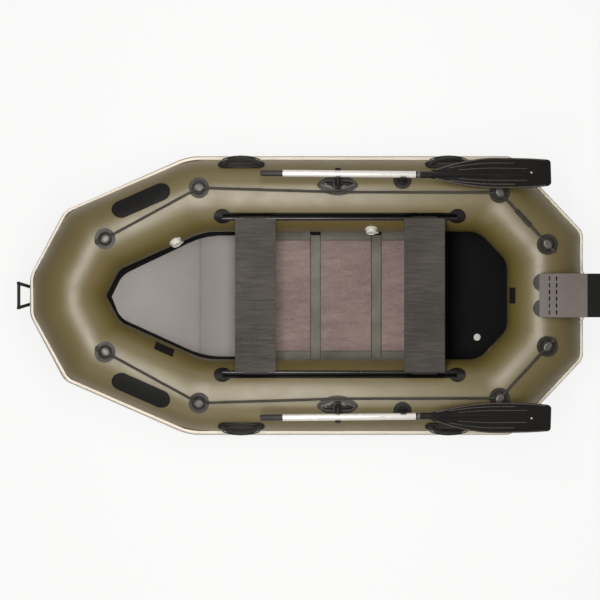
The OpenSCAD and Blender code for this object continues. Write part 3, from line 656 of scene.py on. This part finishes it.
def strand(name, points, radius):
    curve = bpy.data.curves.new(name, "CURVE")
    curve.dimensions = "3D"
    curve.bevel_depth = radius
    curve.bevel_resolution = 1
    curve.use_fill_caps = True
    spline = curve.splines.new("POLY")
    spline.points.add(len(points) - 1)
    for bend, point in zip(spline.points, points):
        bend.co = (*point, 1)
    piece = bpy.data.objects.new(name, curve)
    bpy.context.scene.collection.objects.link(piece)
    only(piece)
    bpy.ops.object.convert(target="MESH")
    return smooth(named(name), 60)


def build_rope():
    """Three strands twisted round each grab line's route, knots, and spare line on starboard."""
    route = [at(EYES[0], ROPE_LIFT, -TAIL), at(EYES[0], ROPE_LIFT), at(EYES[1], ROPE_LIFT),
             at((2, QUARTER.x - LOCK_X, LOCK_ROLL - 11), ROPE_LIFT), at(EYES[2], ROPE_LIFT),
             at(EYES[3], ROPE_LIFT), at(EYES[3], ROPE_LIFT, TAIL)]
    step, pitch, orbit = 0.0035, 0.024, 0.0034
    centres = []
    for start, end in zip(route, route[1:]):
        parts = round((end - start).length / step)
        centres += [start.lerp(end, k / parts) for k in range(parts)]
    centres.append(route[-1])
    strands = []
    for twist in range(3):
        spots = []
        for k, centre in enumerate(centres):
            way = (centres[min(k + 4, len(centres) - 1)] - centres[max(k - 4, 0)]).normalized()
            inboard = sideways(way)
            up = way.cross(inboard)
            turn = 2 * math.pi * (k * step / pitch + twist / 3)
            spots.append(centre + (inboard * math.cos(turn) + up * math.sin(turn)) * orbit)
        strands.append(strand("strand", spots, 0.0034))
    for end in (route[0], route[-1]):
        deselect()
        bpy.ops.mesh.primitive_uv_sphere_add(segments=24, ring_count=14, radius=0.0115,
                                             location=end + Vector((0, 0, 0.003)))
        strands.append(smooth(settle(named("knot")), 80))
    rope = join(strands, "grab_rope")
    both_sides(rope, "grab_rope", "hull", ROPE, ["grab_line_{}"])
    start, end = at(EYES[2], ROPE_LIFT), at(EYES[3], ROPE_LIFT)
    way = (end - start).normalized()
    inboard = sideways(way)
    up = way.cross(inboard)
    wraps, turns, spokes = [], 15, 14
    for k in range(turns * spokes):
        share, turn = k / (turns * spokes), 2 * math.pi * k / spokes
        wraps.append(start.lerp(end, 0.34 + 0.30 * share)
                     + (inboard * math.cos(turn) + up * math.sin(turn)) * 0.0086)
    wrap_piece = strand("spare_wraps", wraps, 0.0030)
    spare = mirrored(wrap_piece, "spare_wraps_starboard")
    bpy.data.objects.remove(wrap_piece)
    finished(spare, "hull", ROPE)


def build_eye_caps():
    """A domed cap and a raised ring on each eye of the grab lines; the ring is dark rubber, darker
    than the pad, as painted shade in the crease at the pad's foot.
    """
    caps, rings = [], []
    for place_of in EYES:
        cap = lathe("cap", [(0.0195, 0.0196), (0.0200, 0.0212), (0.0178, 0.0226), (0.0120, 0.0234),
                            (0.0115, 0.0226), (0.0080, 0.0224), (0.0, 0.0228)], 40, (1.15, 0.85))
        caps.append(place(cap, on_tube(*place_of)))
        # Raised ring at the pad's foot, coloured darker than the pad: painted shade in the crease
        # round the pad.
        ring = lathe("ring", [(0.0335, 0.0040), (0.0345, 0.0062), (0.0330, 0.0080),
                              (0.0308, 0.0080), (0.0300, 0.0040)], 48)
        rings.append(place(ring, on_tube(*place_of)))
    both_sides(join(caps, "eye_cap"), "eye_cap", "hull", BRIGHT_RUBBER)
    both_sides(join(rings, "eye_ring_crease_shade"), "eye_ring_crease_shade", "hull", RUBBER)


def prism(name, outline, low, high, edge=0.001):
    """Flat outline given thickness along Z, with softened edges."""
    count = len(outline)
    mesh = bpy.data.meshes.new(name)
    mesh.from_pydata([(x, y, low) for x, y in outline], [], [tuple(range(count))])
    piece = bpy.data.objects.new(name, mesh)
    bpy.context.scene.collection.objects.link(piece)
    only(piece)
    bpy.ops.object.mode_set(mode="EDIT")
    bpy.ops.mesh.select_all(action="SELECT")
    bpy.ops.mesh.extrude_region_move(TRANSFORM_OT_translate={"value": (0, 0, high - low)})
    bpy.ops.mesh.select_all(action="SELECT")
    bpy.ops.mesh.normals_make_consistent(inside=False)
    bpy.ops.object.mode_set(mode="OBJECT")
    if edge:
        bevel(piece, edge, 2)
    return smooth(piece)


def build_oarlock_wings():
    """Moulded black wings that brace each oarlock along the tube, each with a lower grey border that
    is painted highlight on the wings' edges.
    """
    wings, rims = [], []
    for way in (-1, 1):
        # Second, lower and wider outline in grey: painted highlight round each wing's edge.
        for kept, grow, top in ((wings, 0.0, 0.0200), (rims, 0.0035, 0.0165)):
            outline = [(way * (0.012 - grow), -0.020 - grow), (way * (0.012 - grow), 0.013 + grow),
                       (way * 0.030, 0.016 + grow), (way * (0.078 + grow), -0.002 + grow),
                       (way * (0.076 + grow), -0.010 - grow), (way * 0.050, -0.019 - grow)]
            piece = prism("wing", outline, 0.001, top - 0.006, 0.0012)
            kept.append(place(piece, on_side(LOCK_X, LOCK_ROLL)))
    both_sides(join(wings, "oarlock_wing"), "oarlock_wing", "hull", BLACK)
    both_sides(join(rims, "oarlock_wing_highlight"), "oarlock_wing_highlight", "hull", WING_EDGE_HIGHLIGHT)


def on_oar():
    return (on_side(LOCK_X, LOCK_ROLL) @ Matrix.Translation((0, -OAR_OFFSET, LOCK_H))
            @ Matrix.Rotation(math.radians(STOW_SLOPE), 4, "Y"))


NECK_R = (SHAFT_D + 0.001) / 2


def outboard_edge(t):
    return NECK_R + (BLADE_W * 0.57 - NECK_R) * math.sin(math.pi / 2 * min(1, t / 0.56)) \
        - 0.008 * t ** 8


def inboard_edge(t):
    return NECK_R + (BLADE_W * 0.43 - NECK_R) * math.sin(math.pi / 2 * min(1, t / 0.56)) \
        - 0.018 * t ** 6


def build_blade_ribs():
    """Raised rims and ribs moulded on both faces of the blade, with a lip and a collar; they are
    coloured lighter than the black blade as painted highlight on the ridges.
    """
    ribs = []
    for face in (-1, 1):
        z = face * 0.0034
        for edge, way in ((outboard_edge, -1), (inboard_edge, 1)):
            for inset, start, end, thick in ((0.0035, 0.05, 0.955, 0.0030),
                                             (0.30, 0.16, 0.70, 0.0022),
                                             (0.60, 0.24, 0.80, 0.0018)):
                spots = []
                for k in range(15):
                    t = start + (end - start) * k / 14
                    y = edge(t) - inset if inset < 0.1 else edge(t) * (1 - inset)
                    spots.append((BLADE_START + BLADE_LEN * t, way * y, z))
                ribs.append(pipe("rib", spots, thick, sides=2))
    lip = lathe("lip", [(0.0042, -0.0045), (0.0070, -0.0045), (0.0078, 0.0), (0.0070, 0.0045),
                        (0.0042, 0.0045)], 32)
    ribs.append(place(lip, Matrix.Translation((BLADE_START + BLADE_LEN * 0.84, -0.015, 0))))
    collar = rod("collar", (BLADE_START - 0.058, 0, 0), (BLADE_START - 0.046, 0, 0), 0.0195)
    ribs.append(collar)
    rib = place(join(ribs, "blade_rib"), on_oar())
    both_sides(rib, "blade_rib", "oar_{}", BLADE_RIB_HIGHLIGHT)


def build_grips():
    """Rings moulded round each grip."""
    rings = []
    for k in range(9):
        x = 0.010 + 0.0105 * k - GRIP_REACH
        ring = lathe("ring", [(0.0145, -0.0030), (0.0158, -0.0015), (0.0158, 0.0015),
                              (0.0145, 0.0030)], 28)
        rings.append(place(ring, Matrix.Translation((x, 0, 0)) @ Matrix.Rotation(math.pi / 2, 4, "Y")))
    grip = place(join(rings, "grip_rib"), on_oar())
    both_sides(grip, "grip_rib", "oar_{}", GRIP)


def build_handles():
    """Moulded rims and a thick rounded bar on each carry handle."""
    for x, end in ((0.325, "front"), (-0.680, "rear")):
        rims = []
        spots = []
        for k in range(40):
            turn = 2 * math.pi * k / 40
            y = 0.027 * math.sin(turn)
            spots.append((0.108 * math.cos(turn), TUBE_R * math.sin(y / TUBE_R),
                          TUBE_R * math.cos(y / TUBE_R) - TUBE_R + 0.0045))
        rims.append(pipe("rim", spots, 0.0035, closed=True, sides=2))
        for y in (-0.0105, 0.0105):
            arch = [(0.098 * math.cos(math.pi * k / 18), y,
                     0.006 + 0.036 * math.sin(math.pi * k / 18)) for k in range(2, 17)]
            rims.append(pipe("bead", arch, 0.0028, sides=2))
        rim = place(join(rims, "handle_rim"), on_side(x, 52))
        both_sides(rim, "handle_rim_" + end, "hull", RUBBER)


def build_valves():
    """A screw cap with a keeper strap on each air valve, both on the starboard side."""
    for name, run, along in (("valve_bow", 1, 0.360), ("valve_stern", 2, 0.857)):
        cap = lathe("cap", [(0.0232, 0.0175), (0.0250, 0.0190), (0.0235, 0.0215), (0.0200, 0.0225),
                            (0.0185, 0.0200), (0.0100, 0.0196), (0.0, 0.0200)], 48)
        strap = pipe("strap", [(0.020, 0.010, 0.012), (0.034, 0.020, 0.010), (0.030, 0.036, 0.007),
                               (0.008, 0.040, 0.006), (-0.012, 0.036, 0.007),
                               (-0.022, 0.014, 0.012)], 0.0026, sides=3)
        whole = place(join([cap, strap], name + "_cap"), on_tube(run, along, -70))
        whole.data.transform(Matrix.Scale(-1, 4, Vector((0, 1, 0))))
        whole.data.flip_normals()
        finished(whole, "hull", WHITE)


def build_floor_details():
    """Painted shade along the tubes on the floor, the stern floor darkened as painted shade, painted
    shade at the board gaps' edges, the crease and the bulkhead seams.
    """
    ring = PORT + [flip_y(p) for p in reversed(PORT)]
    # Dark band on the floor under the tubes' overhang and just inboard of it: painted shade where the
    # tube meets the floor.
    shade_band_section = [(0.098, -0.1470), (0.190, -0.1470), (0.190, -0.1452), (0.128, -0.1440),
            (0.1205, -0.1350), (0.1180, -0.1365)]
    shade_band = sweep("floor_painted_shade_band", ring, SOFTENING + SOFTENING[::-1], shade_band_section, closed=True)
    finished(shade_band, "hull", FLOOR_PAINTED_SHADE)
    # Stern part of the floor: the same sheet, near black as painted shade.
    stern = box("stern_floor_painted_shade", (-1.10, -0.42, 0.0342), (-0.64, 0.42, 0.0350), 0)
    finished(stern, "hull", FLOOR_PAINTED_SHADE)
    # Dark strips at the ends of the floor boards: painted shade in the gaps between boards.
    lines = []
    for x in (-0.0125, -0.0615, -0.3165, -0.3655, -0.6305):
        lines.append(box("line", (x - 0.0022, -0.312, 0.0360), (x + 0.0022, 0.312, 0.0374), 0))
    finished(join(lines, "board_gap_painted_shade"), "hull", RUBBER)
    crease = box("bow_floor_crease", (0.5345, -0.36, 0.0341), (0.5375, 0.36, 0.0346), 0)
    finished(crease, "hull", HEM)
    aft, ahead = BULKHEAD_X - 0.025, BULKHEAD_X + 0.005
    for side, way in (("port", 1), ("starboard", -1)):
        sleeve = rod("sleeve", (aft, way * AXIS_SIDE, TUBE_R), (ahead, way * AXIS_SIDE, TUBE_R),
                     TUBE_R + CLOTH_GAP, 0, 96)
        sleeve.name = "bulkhead_seam_" + side
        finished(sleeve, "hull", OLIVE)


build_floor_details()
build_rope()
build_eye_caps()
build_oarlock_wings()
build_blade_ribs()
build_grips()
build_handles()
build_valves()


# ---- Floor, light and camera ----

CAMERA_HEIGHT = 9.0
VIEW_WIDTH = 2.950
VIEW_LEVEL = 0.18


def build_stage():
    deselect()
    bpy.ops.mesh.primitive_plane_add(size=40, location=(0, 0, -0.001))
    floor = named("studio_floor")
    paper = bpy.data.materials.new("Pale floor")
    paper.use_nodes = True
    nodes, links = paper.node_tree.nodes, paper.node_tree.links
    shader = nodes["Principled BSDF"]
    shader.inputs["Base Color"].default_value = (0.86, 0.86, 0.86, 1)
    shader.inputs["Roughness"].default_value = 0.9
    glow = nodes.new("ShaderNodeEmission")
    glow.inputs["Color"].default_value = (0.985, 0.985, 0.985, 1)
    mix = nodes.new("ShaderNodeMixShader")
    seen = nodes.new("ShaderNodeLightPath")
    share = nodes.new("ShaderNodeMath")
    share.operation = "MULTIPLY"
    share.inputs[1].default_value = 0.88
    links.new(seen.outputs["Is Camera Ray"], share.inputs[0])
    links.new(share.outputs[0], mix.inputs[0])
    links.new(shader.outputs[0], mix.inputs[1])
    links.new(glow.outputs[0], mix.inputs[2])
    below = nodes.new("ShaderNodeMixShader")
    links.new(nodes.new("ShaderNodeNewGeometry").outputs["Backfacing"], below.inputs[0])
    links.new(mix.outputs[0], below.inputs[1])
    links.new(nodes.new("ShaderNodeBsdfTransparent").outputs[0], below.inputs[2])
    links.new(below.outputs[0], nodes["Material Output"].inputs["Surface"])
    floor.data.materials.append(paper)

    world = bpy.data.worlds.new("Studio air")
    world.use_nodes = True
    world.node_tree.nodes["Background"].inputs["Color"].default_value = (1, 0.96, 0.90, 1)
    world.node_tree.nodes["Background"].inputs["Strength"].default_value = 0.30
    bpy.context.scene.world = world

    for name, spot, size, power in (
            ("overhead_softbox", (0.2, 0, 3.2), (3.6, 0.8), 88),
            ("port_fill", (0.5, 3.6, 2.2), (3.0, 1.2), 12),
            ("starboard_fill", (-0.5, -3.6, 2.2), (3.0, 1.2), 12)):
        light = bpy.data.lights.new(name, "AREA")
        light.shape = "RECTANGLE"
        light.size, light.size_y = size
        light.energy = power
        light.color = (1, 0.975, 0.93)
        lamp = bpy.data.objects.new(name, light)
        lamp.location = spot
        lamp.rotation_euler = (Vector((0, 0, 0.2)) - Vector(spot)).to_track_quat("-Z", "Y").to_euler()
        bpy.context.scene.collection.objects.link(lamp)

    lens = bpy.data.cameras.new("camera")
    lens.sensor_width = 36
    lens.lens = 36 * (CAMERA_HEIGHT - VIEW_LEVEL) / VIEW_WIDTH
    lens.clip_end = 100
    camera = bpy.data.objects.new("camera", lens)
    camera.location = (0.040, 0.022, CAMERA_HEIGHT)
    camera.rotation_euler = (0, 0, math.pi)
    bpy.context.scene.collection.objects.link(camera)
    bpy.context.scene.camera = camera
    bpy.context.scene.view_settings.view_transform = "Standard"


build_stage()
